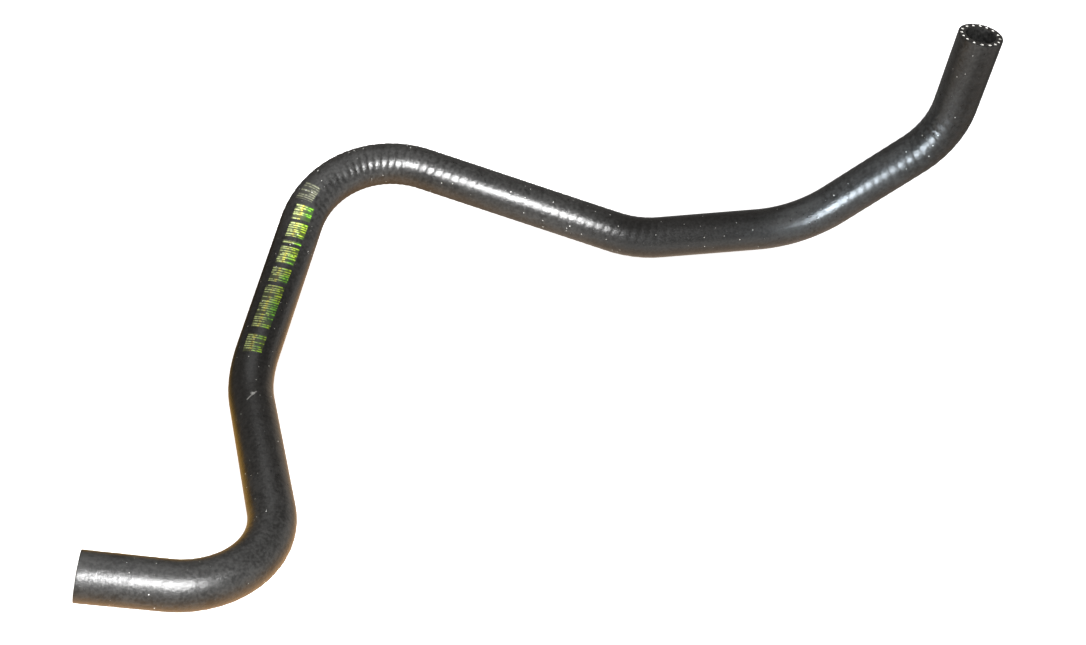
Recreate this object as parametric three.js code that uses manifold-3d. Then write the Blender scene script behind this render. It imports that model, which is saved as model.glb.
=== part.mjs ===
// A moulded coolant hose, cut square at both ends: one rubber wall formed to a fixed route of seven straight legs
// and six bends, with the ends of its knitted reinforcement yarn showing in the two cut faces.
// Millimetres, +Z up. The hose lies on z = 0 and its plan is centred on the origin.

import * as THREE from 'three';
import { mergeVertices } from 'three/addons/utils/BufferGeometryUtils.js';
import Module from 'manifold-3d';

// Section of the hose
const BORE_DIAMETER = 16;
const WALL_THICKNESS = 4;

// Centre line, given as its corners: where two straight legs would meet, with the radius of the bend there.
// x and y are measured from the corner of bend 4, and rise is the height above the legs that lie on the surface.
const CUT_END_A = { x: -274, y: -241, rise: 30 };
const BEND_1 = { x: -186, y: -239, rise: 0, radius: 45 };
const BEND_2 = { x: -219, y: -93, rise: 0, radius: 50 };
const BEND_3 = { x: -173, y: 43, rise: 59, radius: 55 };
const BEND_4 = { x: 0, y: 0, rise: 0, radius: 70 };
const BEND_5 = { x: 96, y: 0, rise: 0, radius: 75 };
const BEND_6 = { x: 174, y: 0, rise: 57, radius: 50 };
const CUT_END_F = { x: 185, y: 0, rise: 120 };

// Reinforcement: yarn ends on one ring in the wall, each in a pit of its own in the cut face
const YARN_COUNT = 16;
const YARN_DIAMETER = 1.2;
const YARN_LENGTH = 3;
const YARN_RING_DEPTH = 1.9;
const YARN_RECESS = 0.1;
const YARN_TIP_CHAMFER = 0.25;
const YARN_CLEARANCE = 0.3;
const YARN_FIRST_ANGLE = 9;
const YARN_SWAY_ANGLE = 2.5;

// Fineness of the facets
const SECTION_SIDES = 32;
const BEND_STEP_ANGLE = 7.5;
const YARN_SIDES = 8;

const RUBBER_COLOUR = 0x3a3d40;
const YARN_COLOUR = 0xe6e2d8;

const boreRadius = BORE_DIAMETER / 2;
const outerRadius = boreRadius + WALL_THICKNESS;
const yarnRadius = YARN_DIAMETER / 2;
const yarnRingRadius = outerRadius - YARN_RING_DEPTH;

const wasm = await Module();
wasm.setup();

// The centre line read by station instead of by length: a straight leg is one step, and a bend has as many
// as its angle needs, with a station exactly where it meets each leg.
class MouldedRoute extends THREE.Curve {
  constructor(corners) {
    super();
    const points = corners.map(({ x, y, rise }) => new THREE.Vector3(x, y, outerRadius + rise));
    this.stations = [];
    this.addStation(points[0], direction(points[0], points[1]));
    for (let i = 1; i < points.length - 1; i++) {
      const before = direction(points[i - 1], points[i]);
      const after = direction(points[i], points[i + 1]);
      this.addBend(points[i], before, after, corners[i].radius);
    }
    const last = points.length - 1;
    this.addStation(points[last], direction(points[last - 1], points[last]));
  }

  addStation(point, tangent) {
    this.stations.push({ point: point.clone(), tangent: tangent.clone() });
  }

  // An arc that touches both legs: it starts short of the corner and turns about the axis square to them
  addBend(corner, before, after, radius) {
    const angle = before.angleTo(after);
    const setback = radius * Math.tan(angle / 2);
    const start = corner.clone().addScaledVector(before, -setback);
    const axis = before.clone().cross(after).normalize();
    const centre = start.clone().addScaledVector(axis.clone().cross(before), radius);
    const steps = Math.ceil(THREE.MathUtils.radToDeg(angle) / BEND_STEP_ANGLE);
    for (let k = 0; k <= steps; k++) {
      const turn = angle * k / steps;
      const arm = start.clone().sub(centre).applyAxisAngle(axis, turn);
      this.addStation(centre.clone().add(arm), before.clone().applyAxisAngle(axis, turn));
    }
  }

  get steps() {
    return this.stations.length - 1;
  }

  station(share) {
    return this.stations[Math.round(share * this.steps)];
  }

  getPointAt(share, target = new THREE.Vector3()) {
    return target.copy(this.station(share).point);
  }

  getTangentAt(share, target = new THREE.Vector3()) {
    return target.copy(this.station(share).tangent);
  }
}

function direction(from, to) {
  return to.clone().sub(from).normalize();
}

// A frame on a cut face: its origin on the centre line, its Z pointing out of the hose
function cutFace(point, outward) {
  const face = new THREE.Group();
  face.position.copy(point);
  face.quaternion.setFromUnitVectors(new THREE.Vector3(0, 0, 1), outward);
  face.updateMatrix();
  return face;
}

// Where the yarn ends come out, in the frame of a cut face. The knit isn't quite even, so each one
// stands a little to one side of its share of the ring.
function yarnPlaces() {
  const places = [];
  for (let k = 0; k < YARN_COUNT; k++) {
    const share = 2 * Math.PI * k / YARN_COUNT;
    const sway = YARN_SWAY_ANGLE * Math.sin(3 * share);
    const angle = share + THREE.MathUtils.degToRad(YARN_FIRST_ANGLE + sway);
    places.push(new THREE.Vector3(yarnRingRadius * Math.cos(angle), yarnRingRadius * Math.sin(angle), 0));
  }
  return places;
}

function solidOf(geometry) {
  const bare = geometry.clone();
  bare.deleteAttribute('uv');
  bare.deleteAttribute('normal');
  const merged = mergeVertices(bare);
  return new wasm.Manifold(new wasm.Mesh({
    numProp: 3,
    vertProperties: new Float32Array(merged.attributes.position.array),
    triVerts: new Uint32Array(merged.index.array),
  }));
}

function geometryOf(solid) {
  const { vertProperties, triVerts } = solid.getMesh();
  const geometry = new THREE.BufferGeometry();
  geometry.setAttribute('position', new THREE.BufferAttribute(vertProperties, 3));
  geometry.setIndex(new THREE.BufferAttribute(triVerts, 1));
  geometry.computeVertexNormals();
  return geometry;
}

// The rubber: a ring swept along the route, with a round pit for every yarn end in both cut faces
function hoseWall(route, faces) {
  const section = new THREE.Shape();
  section.absarc(0, 0, outerRadius, 0, 2 * Math.PI);
  const bore = new THREE.Path();
  bore.absarc(0, 0, boreRadius, 0, 2 * Math.PI, true);
  section.holes.push(bore);
  // A full circle is drawn with two sides for each curve segment
  const tube = new THREE.ExtrudeGeometry(section, {
    steps: route.steps,
    curveSegments: SECTION_SIDES / 2,
    extrudePath: route,
  });
  let wall = solidOf(tube);

  const pitDepth = YARN_RECESS + YARN_LENGTH + YARN_CLEARANCE;
  const pitRadius = yarnRadius + YARN_CLEARANCE;
  for (const face of faces) {
    for (const place of yarnPlaces()) {
      // The cutter stands as far out of the face as it goes in, so that it opens the pit cleanly
      const cutter = new THREE.CylinderGeometry(pitRadius, pitRadius, 2 * pitDepth, YARN_SIDES);
      cutter.rotateX(Math.PI / 2);
      cutter.translate(place.x, place.y, place.z);
      cutter.applyMatrix4(face.matrix);
      wall = wall.subtract(solidOf(cutter));
    }
  }
  return geometryOf(wall);
}

// One yarn end: a short round stub with its cut tip pressed to a chamfer, its tip at z = 0
function yarnEnd() {
  const profile = [
    new THREE.Vector2(0, -YARN_LENGTH),
    new THREE.Vector2(yarnRadius, -YARN_LENGTH),
    new THREE.Vector2(yarnRadius, -YARN_TIP_CHAMFER),
    new THREE.Vector2(yarnRadius - YARN_TIP_CHAMFER, 0),
    new THREE.Vector2(0, 0),
  ];
  const stub = new THREE.LatheGeometry(profile, YARN_SIDES);
  stub.rotateX(Math.PI / 2);
  return stub;
}

const rubber = new THREE.MeshStandardMaterial({ color: RUBBER_COLOUR, roughness: 0.5, metalness: 0 });
const yarn = new THREE.MeshStandardMaterial({ color: YARN_COLOUR, roughness: 0.95, metalness: 0 });

const route = new MouldedRoute([
  CUT_END_A, BEND_1, BEND_2, BEND_3, BEND_4, BEND_5, BEND_6, CUT_END_F,
]);
const first = route.stations[0];
const last = route.stations[route.steps];
const faceA = cutFace(first.point, first.tangent.clone().negate());
const faceF = cutFace(last.point, last.tangent);

const hose = new THREE.Group();

const wall = new THREE.Mesh(hoseWall(route, [faceA, faceF]), rubber);
wall.name = 'hose_wall';
hose.add(wall);

for (const [face, label] of [[faceA, 'a'], [faceF, 'f']]) {
  yarnPlaces().forEach((place, k) => {
    const stub = new THREE.Mesh(yarnEnd(), yarn);
    stub.name = `yarn_end_${label}_${k + 1}`;
    stub.position.set(place.x, place.y, -YARN_RECESS);
    face.add(stub);
  });
  hose.add(face);
}

// Set down on z = 0 with the plan centred
hose.updateMatrixWorld(true);
const extent = new THREE.Box3().setFromObject(hose, true);
const middle = extent.getCenter(new THREE.Vector3());
hose.position.set(-middle.x, -middle.y, -extent.min.z);

export default hose;
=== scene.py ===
import math
import random

import bmesh
import bpy
import numpy as np
from mathutils import Matrix, Vector


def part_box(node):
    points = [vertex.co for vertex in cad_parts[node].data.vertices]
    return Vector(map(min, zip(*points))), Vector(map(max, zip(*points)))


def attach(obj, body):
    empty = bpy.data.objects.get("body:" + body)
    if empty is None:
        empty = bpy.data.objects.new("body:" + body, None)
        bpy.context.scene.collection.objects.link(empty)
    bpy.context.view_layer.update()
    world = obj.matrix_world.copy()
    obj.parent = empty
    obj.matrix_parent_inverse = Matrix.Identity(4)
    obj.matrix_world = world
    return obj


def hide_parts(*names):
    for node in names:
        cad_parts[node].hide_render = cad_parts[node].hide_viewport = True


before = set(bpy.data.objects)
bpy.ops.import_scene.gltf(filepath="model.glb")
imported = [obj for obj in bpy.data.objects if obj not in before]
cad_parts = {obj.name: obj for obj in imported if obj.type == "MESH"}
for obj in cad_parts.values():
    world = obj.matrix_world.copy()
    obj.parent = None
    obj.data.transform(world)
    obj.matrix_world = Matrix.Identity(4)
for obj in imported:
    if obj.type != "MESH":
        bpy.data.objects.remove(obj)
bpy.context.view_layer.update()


# The rubber wall. One moulding of black coolant rubber, extruded with a knit of yarn inside, slid green over
# a bent rod and cured there, so it keeps seven straight legs and six bends, and cut square by a blade. The
# knit shows through the skin as a fine ripple that winds round it, deepest on the third bend and the last.
BORE_RADIUS = 0.008
WALL = 0.004
SKIN_RADIUS = BORE_RADIUS + WALL
SKIN_SIDES = 64
COURSE = 0.0052
RINGS_IN_COURSE = 8
ROUTE_STEP = 0.001
CUT_EDGE_ROUNDING = 0.00018
CUT_EDGE_ANGLE = math.radians(60)
CUT_FACE_RINGS = 4
SMOOTH_UP_TO = math.radians(40)
JUST_OVER = 1.01

# Corners of the centre line, in plan from the fourth bend, each with its height over the legs that rest and
# the radius of its bend
LOW_CUT = (-0.274, -0.241, 0.030)
BENDS = [
    ((-0.186, -0.239, 0.000), 0.045),
    ((-0.219, -0.093, 0.000), 0.050),
    ((-0.173, 0.043, 0.059), 0.055),
    ((0.000, 0.000, 0.000), 0.070),
    ((0.096, 0.000, 0.000), 0.075),
    ((0.174, 0.000, 0.057), 0.050),
]
HIGH_CUT = (0.185, 0.000, 0.120)


def centre_line(step):
    """Points along the centre line, about step apart, the middle of each leg and bend, and the length."""
    corners = [Vector(LOW_CUT)] + [Vector(place) for place, radius in BENDS] + [Vector(HIGH_CUT)]
    points, middles = [], []
    travelled = 0.0
    start = corners[0]

    def walk(length, place_at):
        nonlocal travelled
        count = max(1, round(length / step))
        points.extend(place_at(length * k / count) for k in range(count))
        middles.append(travelled + length / 2)
        travelled += length

    for i, (place, radius) in enumerate(BENDS, start=1):
        inward = (corners[i] - corners[i - 1]).normalized()
        onward = (corners[i + 1] - corners[i]).normalized()
        angle = inward.angle(onward)
        bend_start = corners[i] - inward * radius * math.tan(angle / 2)
        axis = inward.cross(onward).normalized()
        pivot = bend_start + axis.cross(inward) * radius
        arm = bend_start - pivot
        walk((bend_start - start).length, lambda along: start + inward * along)
        walk(radius * angle, lambda along: pivot + Matrix.Rotation(along / radius, 3, axis) @ arm)
        start = pivot + Matrix.Rotation(angle, 3, axis) @ arm
    last = (corners[-1] - corners[-2]).normalized()
    walk((corners[-1] - start).length, lambda along: start + last * along)
    points.append(corners[-1])
    return points, middles, travelled


route, middles, hose_length = centre_line(ROUTE_STEP)
courses = round(hose_length / COURSE)
course = hose_length / courses


def deselect_all():
    bpy.ops.object.select_all(action="DESELECT")


def apply_modifiers(piece):
    deselect_all()
    piece.select_set(True)
    bpy.context.view_layer.objects.active = piece
    for name in [modifier.name for modifier in piece.modifiers]:
        bpy.ops.object.modifier_apply(modifier=name)


def pick_edges(piece, wanted):
    """In edit mode, leaves just the edges selected that pass the test."""
    bpy.ops.mesh.select_mode(type="EDGE")
    bpy.ops.mesh.select_all(action="DESELECT")
    mesh = bmesh.from_edit_mesh(piece.data)
    for edge in mesh.edges:
        edge.select_set(wanted(edge))
    bmesh.update_edit_mesh(piece.data)


def runs_along(edge):
    low, high = sorted(vert.co.z for vert in edge.verts)
    return high - low > course / 2


def vertex_places(mesh):
    """The x, the y and the z of every vertex, as three arrays."""
    places = np.empty(3 * len(mesh.vertices))
    mesh.vertices.foreach_get("co", places)
    return places.reshape(-1, 3).T


def share_of_turn(x, y):
    """How far round the hose each place is, from 0 to 1."""
    return np.arctan2(y, x) / math.tau % 1.0


def lay_out_flat(tube, radius):
    """Sets the tube's UV map to the distance round it and the distance along it."""
    mesh = tube.data
    corners = np.empty(len(mesh.loops), dtype=int)
    mesh.loops.foreach_get("vertex_index", corners)
    x, y, z = vertex_places(mesh)[:, corners]
    turn = share_of_turn(x, y).reshape(-1, 4)
    # A face over the seam takes its far side on past the full turn
    turn += (turn.max(axis=1, keepdims=True) - turn > 0.5)
    flat = np.stack([turn.ravel() * math.tau * radius, z], axis=1)
    mesh.uv_layers[0].name = "unrolled"
    mesh.uv_layers[0].data.foreach_set("uv", flat.ravel())


def straight_tube(name, radius, rings):
    """A straight open tube along Z: one course repeated over the length, then laid out flat in metres."""
    deselect_all()
    bpy.ops.mesh.primitive_cylinder_add(
        vertices=SKIN_SIDES, radius=radius, depth=course, end_fill_type="NOTHING",
        location=(0, 0, course / 2))
    tube = bpy.context.object
    tube.name = name
    bpy.ops.object.transform_apply(location=True, rotation=True, scale=True)
    if rings > 1:
        bpy.ops.object.mode_set(mode="EDIT")
        pick_edges(tube, runs_along)
        bpy.ops.mesh.subdivide(number_cuts=rings - 1)
        bpy.ops.object.mode_set(mode="OBJECT")
    repeat = tube.modifiers.new("courses", "ARRAY")
    repeat.count = courses
    repeat.relative_offset_displace = (0, 0, 1)
    repeat.use_merge_vertices = True
    repeat.merge_threshold = course / 100
    apply_modifiers(tube)
    lay_out_flat(tube, radius)
    return tube


hose = straight_tube("hose_skin", SKIN_RADIUS, RINGS_IN_COURSE)

# The ripple: rounded ribs with a narrow valley between each and the next, wound round the hose like a screw
# of several threads. Its depth is given at the middle of each leg and bend, from the low cut end to the high
# one, and so is the length of its ribs: the knit was pulled up shorter on the third bend.
RIPPLE_DEPTHS = [
    0.00004, 0.00006, 0.00003, 0.00006, 0.00005, 0.00028,
    0.00011, 0.00016, 0.00000, 0.00002, 0.00017, 0.00022, 0.00003,
]
RIB_LENGTHS = [
    0.0052, 0.0052, 0.0052, 0.0052, 0.0052, 0.0042,
    0.0054, 0.0052, 0.0052, 0.0052, 0.0053, 0.0053, 0.0052,
]
RIB_THREADS = 3
RIB_COUNT_STEPS = 2000
SHALLOWEST_SHARE = 0.65
SHADES_OF_DEPTH = 200

# A place at the bottom of a valley, give or take a rounding error, counts with the rib after it
VALLEY_SLACK = 1e-4

x, y, stations = vertex_places(hose.data)
counted_at = np.linspace(0.0, hose_length, RIB_COUNT_STEPS)
ribs_passed = np.cumsum((counted_at[1] - counted_at[0]) / np.interp(counted_at, middles, RIB_LENGTHS))
in_rib = np.interp(stations, counted_at, ribs_passed) + RIB_THREADS * share_of_turn(x, y)
across_rib = 2 * (in_rib - np.floor(in_rib + VALLEY_SLACK)) - 1

# No two stretches are quite as deep. That goes by the station alone, so the screw closes on itself.
rib_chance = random.Random(5)
shares = [rib_chance.uniform(SHALLOWEST_SHARE, 1.0) for _ in range(courses)]
share_here = np.interp(stations, np.linspace(0.0, hose_length, courses), shares)
depth = np.interp(stations, middles, np.sqrt(RIPPLE_DEPTHS)) ** 2 * across_rib ** 2 * share_here
deepest = max(RIPPLE_DEPTHS)
ripple_group = hose.vertex_groups.new(name="ripple")
shade = np.round(depth / deepest * SHADES_OF_DEPTH).astype(int)
for level in np.unique(shade[shade > 0]):
    ripple_group.add(np.flatnonzero(shade == level).tolist(), float(level / SHADES_OF_DEPTH), "REPLACE")
ripple = hose.modifiers.new("ripple", "DISPLACE")
ripple.vertex_group = ripple_group.name
ripple.mid_level = 0
ripple.strength = -deepest

# The extruded wall is never quite even, so the skin sinks a little here and there along the hose
UNEVENNESS = 0.00014
UNEVENNESS_SPREAD = 0.06

swelling = bpy.data.textures.new("swelling", "CLOUDS")
swelling.noise_scale = UNEVENNESS_SPREAD
uneven = hose.modifiers.new("uneven", "DISPLACE")
uneven.texture = swelling
uneven.texture_coords = "LOCAL"
uneven.mid_level = 1.0
uneven.strength = UNEVENNESS
apply_modifiers(hose)

# The bore: a plain round tube, turned to face inwards
bore_tube = straight_tube("hose_bore", BORE_RADIUS, 1)
bpy.ops.object.mode_set(mode="EDIT")
bpy.ops.mesh.select_all(action="SELECT")
bpy.ops.mesh.flip_normals()
bpy.ops.object.mode_set(mode="OBJECT")
deselect_all()
bore_tube.select_set(True)
hose.select_set(True)
bpy.context.view_layer.objects.active = hose
bpy.ops.object.join()

# The cut ends: rings of faces from the bore to the skin, with the edge of the skin just taken off
bpy.ops.object.mode_set(mode="EDIT")
for cut_height in (0.0, hose_length):
    pick_edges(hose, lambda edge: edge.is_boundary and abs(edge.verts[0].co.z - cut_height) < course / 2)
    bpy.ops.mesh.bridge_edge_loops(number_cuts=CUT_FACE_RINGS - 1, interpolation="LINEAR")
pick_edges(hose, lambda edge: len(edge.link_faces) == 2 and edge.calc_face_angle() > CUT_EDGE_ANGLE)
bpy.ops.mesh.bevel(offset=CUT_EDGE_ROUNDING, segments=2)
bpy.ops.object.mode_set(mode="OBJECT")

# Which material each face takes, while the hose is still straight
SKIN, CUT, BORE = range(3)
for face in hose.data.polygons:
    from_axis = math.hypot(face.center.x, face.center.y)
    if from_axis < BORE_RADIUS + CUT_EDGE_ROUNDING:
        face.material_index = BORE
    elif from_axis < SKIN_RADIUS - 2 * CUT_EDGE_ROUNDING - UNEVENNESS - deepest:
        face.material_index = CUT
    else:
        face.material_index = SKIN


def yarn_ring_centre(end):
    """The middle of the ring of yarn ends in one cut face, from the frame."""
    names = [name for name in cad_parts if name.startswith(f"yarn_end_{end}_")]
    corners = [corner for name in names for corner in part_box(name)]
    return sum(corners, Vector()) / len(corners)


# Bent along the route. The frame says where that lies: its end is the middle of the ring of yarn ends in the
# high cut face.
YARN_LENGTH = 0.003
YARN_RECESS = 0.0001
high_outward = (route[-1] - route[-2]).normalized()
low_outward = (route[0] - route[1]).normalized()
high_end = yarn_ring_centre("f") + high_outward * (YARN_RECESS + YARN_LENGTH / 2)
shift = high_end - route[-1]
route = [point + shift for point in route]

route_data = bpy.data.curves.new("hose_route", "CURVE")
route_data.dimensions = "3D"
track = route_data.splines.new("POLY")
track.points.add(len(route) - 1)
for node, point in zip(track.points, route):
    node.co = (*point, 1.0)
route_line = bpy.data.objects.new("hose_route", route_data)
bpy.context.collection.objects.link(route_line)
bend = hose.modifiers.new("bend", "CURVE")
bend.object = route_line
bend.deform_axis = "POS_Z"
apply_modifiers(hose)
bpy.data.objects.remove(route_line)

# The pits that the yarn ends sit in, cut where the frame has the yarn ends
PIT_RADIUS = 0.00086
PIT_DEPTH = 0.0034
PIT_SIDES = 14
CLEAR_OF_PITS = WALL / 8


def stand_on_face(piece, node, outward, twist=0.0):
    """Puts a piece modelled with its tip at the origin, along -Z, where the frame has a yarn end."""
    low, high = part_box(node)
    tip = (low + high) / 2 + outward * (YARN_RECESS + YARN_LENGTH / 2)
    turn = Vector((0, 0, 1)).rotation_difference(outward).to_matrix().to_4x4()
    piece.data.transform(Matrix.Translation(tip) @ turn @ Matrix.Rotation(twist, 4, "Z"))


def own_copy(piece, name):
    copy = piece.copy()
    copy.data = piece.data.copy()
    copy.name = name
    bpy.context.collection.objects.link(copy)
    return copy


yarn_nodes = [(name, low_outward if "_a_" in name else high_outward)
              for name in sorted(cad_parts) if name.startswith("yarn_end_")]
deselect_all()
bpy.ops.mesh.primitive_cylinder_add(vertices=PIT_SIDES, radius=PIT_RADIUS, depth=2 * PIT_DEPTH)
drill = bpy.context.object
drills = []
for name, outward in yarn_nodes:
    bit = own_copy(drill, f"drill_{name}")
    stand_on_face(bit, name, outward)
    drills.append(bit)
bpy.data.objects.remove(drill)
deselect_all()
for bit in drills:
    bit.select_set(True)
bpy.context.view_layer.objects.active = drills[0]
bpy.ops.object.join()
drilling = hose.modifiers.new("pits", "BOOLEAN")
drilling.operation = "DIFFERENCE"
drilling.solver = "MANIFOLD"
drilling.object = drills[0]
apply_modifiers(hose)
bpy.data.objects.remove(drills[0])

# The insides of the pits are cut rubber too
for face in hose.data.polygons:
    for end, outward in ((route[0], low_outward), (route[-1], high_outward)):
        inwards = (end - face.center).dot(outward)
        from_axis = (face.center - end + outward * inwards).length
        in_wall = BORE_RADIUS + CLEAR_OF_PITS < from_axis < SKIN_RADIUS - CLEAR_OF_PITS
        if abs(inwards) < PIT_DEPTH * JUST_OVER and in_wall:
            face.material_index = CUT
bpy.ops.object.shade_smooth_by_angle(angle=SMOOTH_UP_TO)


class Signal:
    """The output of a material node. Arithmetic on it adds the Math nodes that work it out."""

    def __init__(self, tree, socket):
        self.tree = tree
        self.socket = socket

    def math(self, operation, *values):
        return add_node(self.tree, "ShaderNodeMath", {"operation": operation}, dict(enumerate(values)))

    def __add__(self, other):
        return self.math("ADD", self, other)

    __radd__ = __add__

    def __sub__(self, other):
        return self.math("SUBTRACT", self, other)

    def __rsub__(self, other):
        return self.math("SUBTRACT", other, self)

    def __mul__(self, other):
        return self.math("MULTIPLY", self, other)

    __rmul__ = __mul__

    def __truediv__(self, other):
        return self.math("DIVIDE", self, other)

    def __gt__(self, other):
        return self.math("GREATER_THAN", self, other)

    def __lt__(self, other):
        return self.math("LESS_THAN", self, other)

    def floor(self):
        return self.math("FLOOR", self)

    def wrapped(self):
        return self.math("FRACT", self)

    def distance_to(self, other):
        return self.math("ABSOLUTE", self - other)

    def ramp(self, low, high, to_low=0.0, to_high=1.0):
        """Runs from to_low at low to to_high at high, smoothly, and stays level outside."""
        return add_node(
            self.tree, "ShaderNodeMapRange", {"interpolation_type": "SMOOTHSTEP"},
            {"Value": self, "From Min": low, "From Max": high, "To Min": to_low, "To Max": to_high})

    def part(self, number):
        """One part of a vector: its x, y or z, by number."""
        return add_node(self.tree, "ShaderNodeSeparateXYZ", {}, {0: self}, output=number)


X, Y, Z = range(3)

# The output of a Texture Coordinate node that gives a place on the object itself
OBJECT_PLACE = 3


def add_node(tree, kind, settings=None, inputs=None, output=0):
    """Adds one node: its settings first, then the values or links of its sockets. Gives back its output."""
    node = tree.nodes.new(kind)
    for name, value in (settings or {}).items():
        setattr(node, name, value)
    for name, value in (inputs or {}).items():
        if isinstance(value, Signal):
            tree.links.new(value.socket, node.inputs[name])
        else:
            node.inputs[name].default_value = value
    return Signal(tree, node.outputs[output])


def mix_colours(factor, first, second):
    """Blends two colours by a signal. The colour sockets of the Mix node are its seventh and eighth."""
    colours = {"Factor": factor, 6: first, 7: second}
    return add_node(factor.tree, "ShaderNodeMix", {"data_type": "RGBA"}, colours, output=2)


def noise(tree, place, scale, detail=2.0, roughness=0.5):
    return add_node(
        tree, "ShaderNodeTexNoise", {},
        {"Vector": place, "Scale": scale, "Detail": detail, "Roughness": roughness})


def stretched(tree, place, scales):
    """A place with each of its directions scaled on its own, for a pattern of lines."""
    return add_node(tree, "ShaderNodeMapping", {}, {"Vector": place, "Scale": scales})


def bump(tree, strength, relief, height):
    inputs = {"Strength": strength, "Distance": relief, "Height": height}
    return add_node(tree, "ShaderNodeBump", {}, inputs)


def new_material(name, **finish):
    """A material with one Principled shader, its even finish set on the shader's own sockets."""
    material = bpy.data.materials.new(name)
    material.use_nodes = True
    shader = next(node for node in material.node_tree.nodes if node.type == "BSDF_PRINCIPLED")
    for socket, value in finish.items():
        shader.inputs[socket.replace("_", " ")].default_value = value
    return material, material.node_tree, shader


def wire(signal, shader, socket):
    signal.tree.links.new(signal.socket, shader.inputs[socket])


# The skin's own patterns, in cells to the metre. The die leaves fine lines along the hose, many round it and
# few along it, which spread what it mirrors round the hose but not along it.
GRAIN = 1100.0
MOTTLING = 620.0
PATCHES = 95.0
CLOUDING = 22.0
DIE_LINES = (6000.0, 300.0, 1.0)
RUBBER_DARK = (0.007, 0.007, 0.0068, 1)
RUBBER_PALE = (0.0255, 0.0255, 0.0248, 1)
SKIN_ROUGHNESS = 0.20
SKIN_RELIEF = 0.00004
SCUFF_GREY = (0.50, 0.50, 0.48, 1)
DUST_GREY = (0.78, 0.78, 0.75, 1)

# Where the skin is duller because it has been handled: up to one station, and between two, each fading out
HANDLED_DULLNESS = 0.06
LOW_END_FADES = (0.05, 0.13)
SIXTH_LEG_BEGINS = (0.655, 0.685)
SIXTH_LEG_FADES = (0.700, 0.716)


def rubber_skin():
    """Cured black rubber: satin and finely mottled, with stray dust and a printed row of green marks."""
    material, tree, shader = new_material("rubber_skin", Specular_IOR_Level=0.6)
    place = add_node(tree, "ShaderNodeTexCoord", output=OBJECT_PLACE)
    flat = add_node(tree, "ShaderNodeUVMap", {"uv_map": "unrolled"})
    around = flat.part(X)
    along = flat.part(Y)

    grain = noise(tree, place, GRAIN, detail=3.0, roughness=0.62)
    patches = noise(tree, place, PATCHES, detail=4.0, roughness=0.6)
    cloudy = noise(tree, place, CLOUDING)
    mottle = noise(tree, place, MOTTLING, detail=1.0)
    drawn = noise(tree, stretched(tree, flat, DIE_LINES), 1.0)
    pale = (grain * 0.3 + mottle * 0.4 + patches * 0.3).ramp(0.38, 0.62)

    marks, ink = printed_marks(tree, around, along, patches)
    dust = stray_dust(tree, flat)
    colour = mix_colours(marks, mix_colours(pale, RUBBER_DARK, RUBBER_PALE), ink)
    colour = mix_colours(scuff_marks(tree, flat, grain), colour, SCUFF_GREY)
    wire(mix_colours(dust, colour, DUST_GREY), shader, "Base Color")

    on_low_end = along.ramp(*LOW_END_FADES, HANDLED_DULLNESS, 0.0)
    on_leg = along.ramp(*SIXTH_LEG_BEGINS, 0.0, HANDLED_DULLNESS) * along.ramp(*SIXTH_LEG_FADES, 1.0, 0.0)
    handled = on_low_end + on_leg
    dull = mottle * 0.10 + patches * 0.08 + cloudy * 0.03
    wire(dull + handled + SKIN_ROUGHNESS + dust * 0.3 + marks * 0.12, shader, "Roughness")
    relief = grain * 1.3 + mottle * 2.7 + patches * 0.8 + drawn * 1.2 + marks * 0.3 + dust * 0.8
    wire(bump(tree, 1.0, SKIN_RELIEF, relief), shader, "Normal")
    return material


# Dust: one chance of a speck in each cell of this size, on the skin laid flat. It has settled in drifts, so
# some stretches have next to none.
DUST_CELL = 0.0044
DUSTY_SHARE = 0.42
SPECK_SIZE = 0.082
SPECK_EDGE = 0.025
DRIFTS = 28.0
DRIFT_EDGES = (0.40, 0.56)
DUST_BETWEEN_DRIFTS = 0.15


def stray_dust(tree, flat):
    """Pale specks lying here and there on the skin, no two of a size."""
    cells = {"Vector": flat, "Scale": 1 / DUST_CELL}
    from_speck = add_node(tree, "ShaderNodeTexVoronoi", {"voronoi_dimensions": "2D"}, cells, output=0)
    cell_place = add_node(tree, "ShaderNodeTexVoronoi", {"voronoi_dimensions": "2D"}, cells, output=2)
    chance = add_node(tree, "ShaderNodeTexWhiteNoise", {"noise_dimensions": "3D"}, {"Vector": cell_place})
    drifted = noise(tree, cell_place, DRIFTS, detail=1.0).ramp(*DRIFT_EDGES, DUST_BETWEEN_DRIFTS, 1.0)
    size = chance.ramp(1 - DUSTY_SHARE, 1.0, 0.0, SPECK_SIZE) * drifted
    speck = (size - from_speck).ramp(0.0, SPECK_EDGE) * (chance > 1 - DUSTY_SHARE)
    return speck * chance.ramp(0.6, 1.0, 0.2, 1.0)


# The scuff across the second bend, on the skin laid flat: its middle, the way it runs, and its size. A spot
# lies in it, and another, paler, by the fourth bend.
SCUFF_MIDDLE = (0.0154, 0.1885)
SCUFF_TURN = math.radians(42)
SCUFF_LENGTH = 0.0090
SCUFF_WIDTH = 0.0008
SCUFF_TIP = 0.0012
SCUFF_SPOT = (0.0160, 0.1900)
SCUFF_SPOT_RADIUS = 0.0017
PALE_SPOT = (0.0105, 0.4862)
PALE_SPOT_RADIUS = 0.0013
SPOTS = [(SCUFF_SPOT, SCUFF_SPOT_RADIUS, 1.0), (PALE_SPOT, PALE_SPOT_RADIUS, 0.35)]


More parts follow.
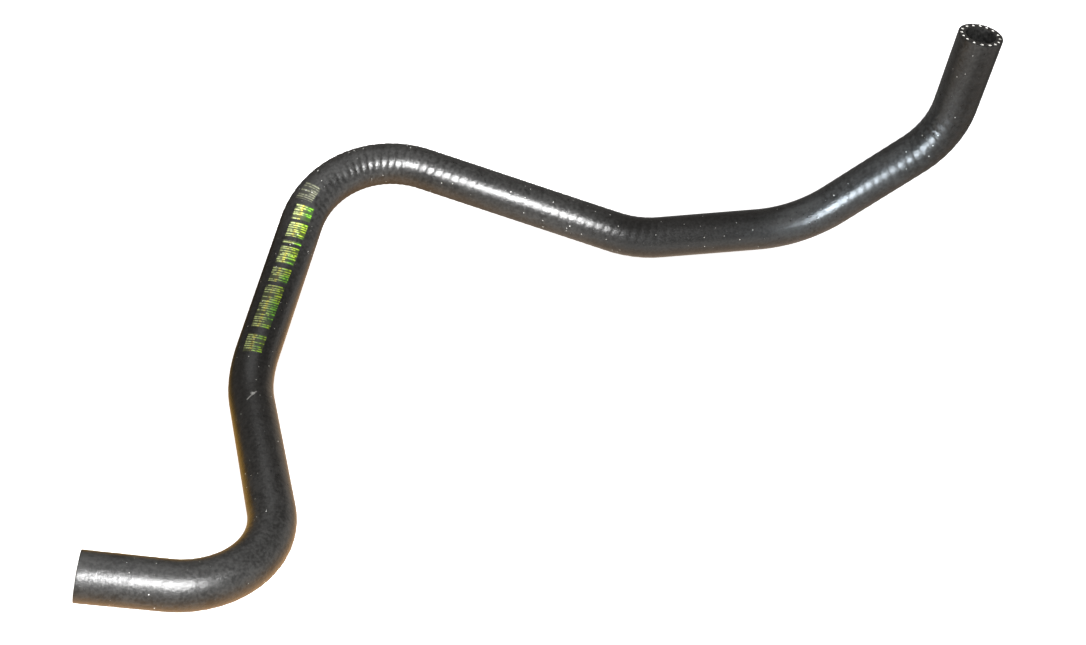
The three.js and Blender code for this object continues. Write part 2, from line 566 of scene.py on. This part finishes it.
def scuff_marks(tree, flat, grain):
    """Where something hard has rubbed the skin grey: a short scuff with a spot in it, and a faint spot."""
    on_scuff = add_node(
        tree, "ShaderNodeMapping", {"vector_type": "TEXTURE"},
        {"Vector": flat, "Location": (*SCUFF_MIDDLE, 0), "Rotation": (0, 0, SCUFF_TURN)})
    line = (SCUFF_LENGTH / 2 - on_scuff.part(X).distance_to(0.0)).ramp(0.0, SCUFF_TIP)
    line = line * (SCUFF_WIDTH - on_scuff.part(Y).distance_to(0.0)).ramp(0.0, SCUFF_WIDTH)
    spots = 0.0
    for place, radius, strength in SPOTS:
        away = add_node(
            tree, "ShaderNodeVectorMath", {"operation": "DISTANCE"}, {0: flat, 1: (*place, 0)}, output=1)
        spots = (radius - away).ramp(0.0, radius) * strength + spots
    return (line * 0.7 + spots).ramp(0.0, 1.0) * grain.ramp(0.3, 0.6, 0.5, 1.0)


# The row of printed marks on the third leg: plain bars set in groups, no letters, (from, to) along the hose.
# It was rolled on a little askew: how far round it runs at its two ends, and where its faint last group is.
MARK_GROUPS = [
    (0.2230, 0.2345), (0.2385, 0.2640), (0.2665, 0.2755), (0.2780, 0.2885),
    (0.2905, 0.2922), (0.2950, 0.3040), (0.3060, 0.3155),
]
FAINT_GROUP = (0.3185, 0.3290)
MARK_PITCH = 0.00137
MARK_HEIGHT = 0.0108
MARK_SLANT = 0.05
MARK_EDGE = 0.03
ROW_TURN_FIRST = 0.198
ROW_TURN_LAST = 0.228
FAINT_TURN = 0.186

# Its bars, each by chance. In shares of the pitch: the range of their middles and of their half widths, and
# the softness of their sides. Past a chance a bar stops short at the top or at the foot, by a share of the
# row's height in this range.
BAR_CHANCES = (0.1, 0.3, 0.5)
BAR_MIDDLES = (0.38, 0.62)
BAR_HALF_WIDTHS = (0.15, 0.30)
BAR_SIDES = (-0.10, 0.08)
SHORT_AT_TOP_PAST = 0.7
SHORT_AT_TOP_BY = (0.05, 0.6)
SHORT_AT_FOOT_PAST = 0.75
SHORT_AT_FOOT_BY = (-0.05, -0.55)

# The ink is worn, washes a little over the whole row, and is green low down, with a painted sheen in yellow
# along its middle
WEAR = 620.0
INK_WASH = 0.09
FAINT_INK = 0.4
PAINTED_SHEEN_ACROSS = -0.10
PAINTED_SHEEN_WIDTH = 0.14
INK_LIME = (0.50, 0.72, 0.03, 1)
INK_GREEN = (0.20, 0.60, 0.02, 1)
INK_PALE = (0.66, 0.78, 0.30, 1)
INK_PAINTED_SHEEN = (1.0, 0.95, 0.12, 1)
INK_FAINT = (0.44, 0.46, 0.30, 1)


def printed_marks(tree, around, along, patches):
    """The share of ink at each place on the skin, and its colour."""
    row_turn = along.ramp(MARK_GROUPS[0][0], MARK_GROUPS[-1][1], ROW_TURN_FIRST, ROW_TURN_LAST)
    row_turn = (along > (MARK_GROUPS[-1][1] + FAINT_GROUP[0]) / 2) * (FAINT_TURN - ROW_TURN_LAST) + row_turn
    across = (around - row_turn * (math.tau * SKIN_RADIUS)) / MARK_HEIGHT
    slanted = along - across * (MARK_SLANT * MARK_HEIGHT)
    inside = 0.0
    for low, high in MARK_GROUPS:
        inside = (slanted > low) * (slanted < high) + inside
    faint = (slanted > FAINT_GROUP[0]) * (slanted < FAINT_GROUP[1])

    step = slanted / MARK_PITCH
    bar = step.floor()
    chances = [
        add_node(tree, "ShaderNodeTexWhiteNoise", {"noise_dimensions": "1D"}, {"W": bar + offset})
        for offset in BAR_CHANCES]
    middle_of_bar = chances[0].ramp(0.0, 1.0, *BAR_MIDDLES)
    half_width = chances[1].ramp(0.0, 1.0, *BAR_HALF_WIDTHS)
    stroke = (half_width - step.wrapped().distance_to(middle_of_bar)).ramp(*BAR_SIDES)
    top = (chances[1] > SHORT_AT_TOP_PAST) * chances[2].ramp(0.0, 1.0, *SHORT_AT_TOP_BY) - 0.5
    foot = (chances[0] > SHORT_AT_FOOT_PAST) * chances[2].ramp(0.0, 1.0, *SHORT_AT_FOOT_BY) + 0.5
    length = (across - top).ramp(0.0, MARK_EDGE) * (foot - across).ramp(0.0, MARK_EDGE)
    band = (0.5 - across.distance_to(0.0)).ramp(0.0, MARK_EDGE)

    on_skin = add_node(tree, "ShaderNodeCombineXYZ", {}, {0: around, 1: along})
    wear = add_node(
        tree, "ShaderNodeTexNoise", {"noise_dimensions": "2D"},
        {"Vector": on_skin, "Scale": WEAR, "Detail": 2.0})
    worn = wear.ramp(0.34, 0.56, 0.2, 1.0)
    share = (inside + faint * FAINT_INK) * (stroke * length * worn + band * INK_WASH)
    green = mix_colours(patches.ramp(0.4, 0.6), INK_LIME, INK_GREEN)
    ink = mix_colours(across.ramp(-0.15, 0.3), INK_PALE, green)
    # A painted sheen: a yellow line along the middle of the row
    painted_sheen = (PAINTED_SHEEN_WIDTH - across.distance_to(PAINTED_SHEEN_ACROSS)).ramp(0.0, PAINTED_SHEEN_WIDTH)
    ink = mix_colours(painted_sheen * patches.ramp(0.36, 0.56, 0.35, 1.0), ink, INK_PAINTED_SHEEN)
    return share, mix_colours(faint, ink, INK_FAINT)


# What the blade and the rod leave: fine lines, across the cut face and along the bore
DRAG_LINES = (3200.0, 260.0, 900.0)
CUT_GRAIN = 1600.0
CUT_DARK = (0.040, 0.041, 0.040, 1)
CUT_PALE = (0.105, 0.106, 0.100, 1)
CUT_RELIEF = 0.00008
ROD_LINES = (1500.0, 45.0, 1.0)
BORE_DARK = (0.016, 0.016, 0.016, 1)
BORE_PALE = (0.036, 0.036, 0.035, 1)
BORE_RELIEF = 0.00005


def cut_rubber():
    """The face that the blade left: matt, with fine drag lines all one way."""
    material, tree, shader = new_material("cut_rubber")
    place = add_node(tree, "ShaderNodeTexCoord", output=OBJECT_PLACE)
    lines = noise(tree, stretched(tree, place, DRAG_LINES), 1.0, detail=3.0)
    grain = noise(tree, place, CUT_GRAIN, detail=3.0, roughness=0.65)
    mottle = (lines * 0.5 + grain * 0.5).ramp(0.38, 0.62)
    wire(mix_colours(mottle, CUT_DARK, CUT_PALE), shader, "Base Color")
    wire(grain * 0.25 + 0.5, shader, "Roughness")
    wire(bump(tree, 0.6, CUT_RELIEF, lines * 0.6 + grain * 0.4), shader, "Normal")
    return material


def bore_rubber():
    """The lining: matt black, drawn smooth by the rod, with faint lines along it."""
    material, tree, shader = new_material("bore_rubber")
    flat = add_node(tree, "ShaderNodeUVMap", {"uv_map": "unrolled"})
    lines = noise(tree, stretched(tree, flat, ROD_LINES), 1.0, detail=3.0)
    wire(mix_colours(lines.ramp(0.35, 0.65), BORE_DARK, BORE_PALE), shader, "Base Color")
    wire(lines * 0.2 + 0.5, shader, "Roughness")
    wire(bump(tree, 0.4, BORE_RELIEF, lines), shader, "Normal")
    return material


# In the order of SKIN, CUT and BORE
hose.data.materials.clear()
for material in (rubber_skin(), cut_rubber(), bore_rubber()):
    hose.data.materials.append(material)
hose.name = "hose_rubber"
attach(hose, "root")
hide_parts("hose_wall")


# The cut ends of the knitted yarn. Sixteen runs of white spun yarn lie in the wall, and the blade that cuts
# the rubber cuts them too, so each shows as a small tuft of strands in its own pit, level with the cut face.
YARN_RADIUS = 0.00076
STRANDS_ROUND = 6
STRAND_RADIUS = YARN_RADIUS / 3
STRAND_SIDES = 8
STRAND_SPACING = 2 * STRAND_RADIUS * 0.98
STRAND_RISE = (-0.00010, 0.00016)
TIP_ROUNDING = 0.00007
TIP_SMOOTH_UP_TO = math.radians(50)
TUFT_FLATTENING = (0.66, 1.0)
TUFT_BREADTH = (0.9, 1.08)

deselect_all()
bpy.ops.mesh.primitive_cylinder_add(
    vertices=STRAND_SIDES, radius=STRAND_RADIUS, depth=YARN_LENGTH, location=(0, 0, -YARN_LENGTH / 2))
tuft = bpy.context.object
bpy.ops.object.transform_apply(location=True, rotation=True, scale=True)
bpy.ops.object.mode_set(mode="EDIT")
pick_edges(tuft, lambda edge: min(vert.co.z for vert in edge.verts) > -YARN_LENGTH / 2)
bpy.ops.mesh.bevel(offset=TIP_ROUNDING, segments=2)
bpy.ops.mesh.select_all(action="SELECT")
strand_chance = random.Random(11)
for k in range(STRANDS_ROUND):
    # Each strand is copied out of the middle one, which stays
    turn = math.tau * k / STRANDS_ROUND
    rise = strand_chance.uniform(*STRAND_RISE)
    bpy.ops.mesh.duplicate()
    bpy.ops.transform.translate(
        value=(STRAND_SPACING * math.cos(turn), STRAND_SPACING * math.sin(turn), rise))
    mesh = bmesh.from_edit_mesh(tuft.data)
    bpy.ops.mesh.select_mode(type="VERT")
    for vert in mesh.verts:
        vert.select_set(math.hypot(vert.co.x, vert.co.y) < STRAND_RADIUS * JUST_OVER)
    mesh.select_flush_mode()
    bmesh.update_edit_mesh(tuft.data)
bpy.ops.object.mode_set(mode="OBJECT")
bpy.ops.object.shade_smooth_by_angle(angle=TIP_SMOOTH_UP_TO)

# Its colours, and its patterns in cells to the metre
THREADS = 5200.0
SOILING = 420.0
FIBRE_DARK = (0.84, 0.83, 0.77, 1)
FIBRE_PALE = (0.95, 0.95, 0.92, 1)
SOILED = (0.3, 0.29, 0.24, 1)
YARN_RELIEF = 0.00004


def cut_yarn():
    """Spun white yarn, a little soiled, its threads running along it."""
    material, tree, shader = new_material("cut_yarn", Sheen_Weight=0.3, Sheen_Roughness=0.5)
    place = add_node(tree, "ShaderNodeTexCoord", output=OBJECT_PLACE)
    threads = noise(tree, place, THREADS)
    soil = noise(tree, place, SOILING)
    fibre = mix_colours(threads.ramp(0.3, 0.7), FIBRE_DARK, FIBRE_PALE)
    wire(mix_colours(soil.ramp(0.56, 0.76), fibre, SOILED), shader, "Base Color")
    wire(threads * 0.2 + 0.75, shader, "Roughness")
    wire(bump(tree, 0.6, YARN_RELIEF, threads), shader, "Normal")
    return material


tuft.data.materials.append(cut_yarn())
tuft_chance = random.Random(23)
for name, outward in yarn_nodes:
    yarn_tuft = own_copy(tuft, name.replace("yarn_end", "yarn_tuft"))
    flattened = tuft_chance.uniform(*TUFT_FLATTENING)
    yarn_tuft.data.transform(Matrix.Diagonal((flattened, tuft_chance.uniform(*TUFT_BREADTH), 1.0, 1.0)))
    stand_on_face(yarn_tuft, name, outward, twist=tuft_chance.uniform(0, math.tau))
    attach(yarn_tuft, "root")
    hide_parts(name)
bpy.data.objects.remove(tuft)


# The floor: a plain pale sheet that the hose lies on. The camera sees it pale, but what the rubber mirrors
# of it is a brownish glow, a painted stand-in for a lit wooden table. It is brown where it is met steeply
# and pale where it is met at a slant, a painted reflection of the room in the table's polish. It is dimmer
# on the right, and dimmer at the far edge as a painted shadow of the hose.
FLOOR_SIZE = 14.0
FLOOR_PALE = (0.86, 0.86, 0.86, 1)
FLOOR_GLOW = 0.9
GLOW_BELOW = (1.30, 1.00, 0.75, 1)
GLOW_BELOW_LEFT = (1.90, 1.15, 0.58, 1)
GLOW_BEYOND = (1.35, 1.32, 1.28, 1)
GLOW_BEYOND_LEFT = (0.64, 0.52, 0.40, 1)
GLOW_FAR_LEFT = (1.15, 0.62, 0.08, 1)
GLOW_FAR_CORNER = (0.26, 0.17, 0.06, 1)

# Where the glow's colours change and where it fades, (from, to) across the floor or up it. Its fade up the
# floor, at the far edge, is a painted shadow of the hose.
LEFT_ACROSS = (-0.14, -0.02)
FAR_LEFT_ACROSS = (-0.21, -0.16)
FAR_LEFT_UP = (-0.15, -0.08)
CORNER_UP = (-0.03, 0.06)
DIM_ACROSS = (0.08, 0.26)
HOSE_SHADOW_UP = (0.06, 0.16)
DIM_ON_RIGHT = 0.4
HOSE_SHADOW_AT_FAR_EDGE = 0.22

deselect_all()
bpy.ops.mesh.primitive_plane_add(size=FLOOR_SIZE)
floor = bpy.context.object
floor.name = "floor"
floor_material, floor_tree, floor_shader = new_material(
    "pale_floor", Base_Color=FLOOR_PALE, Roughness=0.9,
    Emission_Color=(1, 1, 1, 1), Emission_Strength=FLOOR_GLOW)
seen = add_node(floor_tree, "ShaderNodeLightPath")
at_a_slant = add_node(floor_tree, "ShaderNodeLayerWeight", {}, {"Blend": 0.5}, output=1).ramp(0.1, 0.6)
floor_place = add_node(floor_tree, "ShaderNodeTexCoord", output=OBJECT_PLACE)
across_floor = floor_place.part(X)
up_floor = floor_place.part(Y)
left = across_floor.ramp(*LEFT_ACROSS, 1.0, 0.0)
far_left = across_floor.ramp(*FAR_LEFT_ACROSS, 1.0, 0.0) * up_floor.ramp(*FAR_LEFT_UP)
# The glow's strength: dimmer on the right, and dimmer at the far edge as a painted shadow of the hose
lit = across_floor.ramp(*DIM_ACROSS, 1.0, DIM_ON_RIGHT) * up_floor.ramp(*HOSE_SHADOW_UP, 1.0, HOSE_SHADOW_AT_FAR_EDGE)
below = mix_colours(left, GLOW_BELOW, GLOW_BELOW_LEFT)
beyond = mix_colours(left, GLOW_BEYOND, GLOW_BEYOND_LEFT)
corner = mix_colours(up_floor.ramp(*CORNER_UP), GLOW_FAR_LEFT, GLOW_FAR_CORNER)
glow_colour = mix_colours(at_a_slant, below, mix_colours(far_left, beyond, corner))
glow = add_node(floor_tree, "ShaderNodeEmission", {}, {"Color": glow_colour, "Strength": lit})
choice = add_node(floor_tree, "ShaderNodeMixShader", {}, {0: seen, 1: glow})
floor_tree.links.new(floor_shader.outputs[0], choice.socket.node.inputs[2])
floor_output = next(node for node in floor_tree.nodes if node.type == "OUTPUT_MATERIAL")
wire(choice, floor_output, "Surface")
floor.data.materials.append(floor_material)


# The room: a soft light from all round, dimmer overhead and behind the hose than in front of it. The camera
# sees it pale, as it sees the floor.
ROOM_OVERHEAD = (0.23, 0.215, 0.20, 1)
ROOM_IN_FRONT = (0.38, 0.38, 0.38, 1)
ROOM_SEEN = (0.95, 0.95, 0.95, 1)

world = bpy.data.worlds.new("room")
bpy.context.scene.world = world
world.use_nodes = True
world_tree = world.node_tree
background = next(node for node in world_tree.nodes if node.type == "BACKGROUND")
look = add_node(world_tree, "ShaderNodeTexCoord")
towards_front = look.part(Y) * -0.8 - look.part(Z) * 0.6
room = mix_colours(towards_front.ramp(-0.5, 0.8), ROOM_OVERHEAD, ROOM_IN_FRONT)
wire(mix_colours(add_node(world_tree, "ShaderNodeLightPath"), room, ROOM_SEEN), background, "Color")


# The lamps: a soft strip near the camera, a dim soft panel over the left part, and four round lamps, each on
# one stretch of the hose, which give the highlights their places and lengths. The camera doesn't see them.
EYE = Vector((-0.0178, -0.5275, 0.5291))
STRIP_DISTANCE = 1.05
OVER_LEFT = Vector((-0.12, 0.19, 0.50))


def put_lamp(name, data, place, aim):
    lamp = bpy.data.objects.new(name, data)
    lamp.location = place
    lamp.rotation_euler = (Vector(aim) - Vector(place)).to_track_quat("-Z", "Y").to_euler()
    lamp.visible_camera = False
    bpy.context.collection.objects.link(lamp)


def soft_light(name, place, aim, width, height, brightness):
    """A flat soft light of the given brightness, its height in the upright plane through its aim."""
    data = bpy.data.lights.new(name, "AREA")
    data.shape = "RECTANGLE"
    data.size = width
    data.size_y = height
    data.energy = brightness * math.pi * width * height
    put_lamp(name, data, place, aim)


def beam(name, place, aim, cone, edge, radius, brightness, colour=(1, 1, 1)):
    """A round lamp with a narrow cone, in degrees. White paper at its aim would look as bright as asked."""
    data = bpy.data.lights.new(name, "SPOT")
    data.spot_size = math.radians(cone)
    data.spot_blend = edge
    data.shadow_soft_size = radius
    distance = (Vector(aim) - Vector(place)).length
    data.energy = brightness * 4 * math.pi ** 2 * distance ** 2
    data.color = colour
    put_lamp(name, data, place, aim)


middle = Vector((0, 0, 0.03))
towards_eye = (EYE - middle).normalized()
beam("beam_on_low_end", EYE + Vector((0.07, 0.0, 0.0)), aim=(-0.22, -0.28, 0.03),
     cone=35.8, edge=0.6, radius=0.08, brightness=5.2)
beam("beam_on_long_leg", EYE + Vector((0.0, 0.02, 0.03)), aim=(-0.068, 0.127, 0.045),
     cone=13.8, edge=0.22, radius=0.02, brightness=2.2)
beam("beam_on_high_end", (-0.05, -0.28, 0.125), aim=(0.172, 0.105, 0.045),
     cone=15.5, edge=0.25, radius=0.03, brightness=2.05, colour=(0.80, 0.91, 1.0))
beam("beam_on_high_cut", EYE + Vector((0.0, 0.0, 0.06)), aim=high_end + Vector((0.0, 0.0, 0.008)),
     cone=4.2, edge=0.6, radius=0.02, brightness=1.4)
soft_light("strip", middle + towards_eye * STRIP_DISTANCE, middle, width=0.12, height=1.5, brightness=5.0)
# The panel looks a hair past straight down, which lays its height along Y
soft_light("panel_over_left", OVER_LEFT, (OVER_LEFT.x, OVER_LEFT.y + 0.0001, 0.0),
           width=0.36, height=0.58, brightness=0.9)


# The camera: held over the near side of the hose and a little rolled, looking down at it from about three
# quarters of a metre away.
LOOKING_DOWN = math.radians(42.4)
ROLL = math.radians(4.59)
LENS = 46.0
SENSOR_WIDTH = 36.0
NEAREST_SEEN = 0.02

camera_data = bpy.data.cameras.new("camera")
camera_data.lens = LENS
camera_data.sensor_width = SENSOR_WIDTH
camera_data.sensor_fit = "HORIZONTAL"
camera_data.clip_start = NEAREST_SEEN
camera = bpy.data.objects.new("camera", camera_data)
bpy.context.collection.objects.link(camera)
camera.matrix_world = (
    Matrix.Translation(EYE)
    @ Matrix.Rotation(math.pi / 2 - LOOKING_DOWN, 4, "X")
    @ Matrix.Rotation(-ROLL, 4, "Z"))
bpy.context.scene.camera = camera
bpy.context.scene.view_settings.view_transform = "Standard"
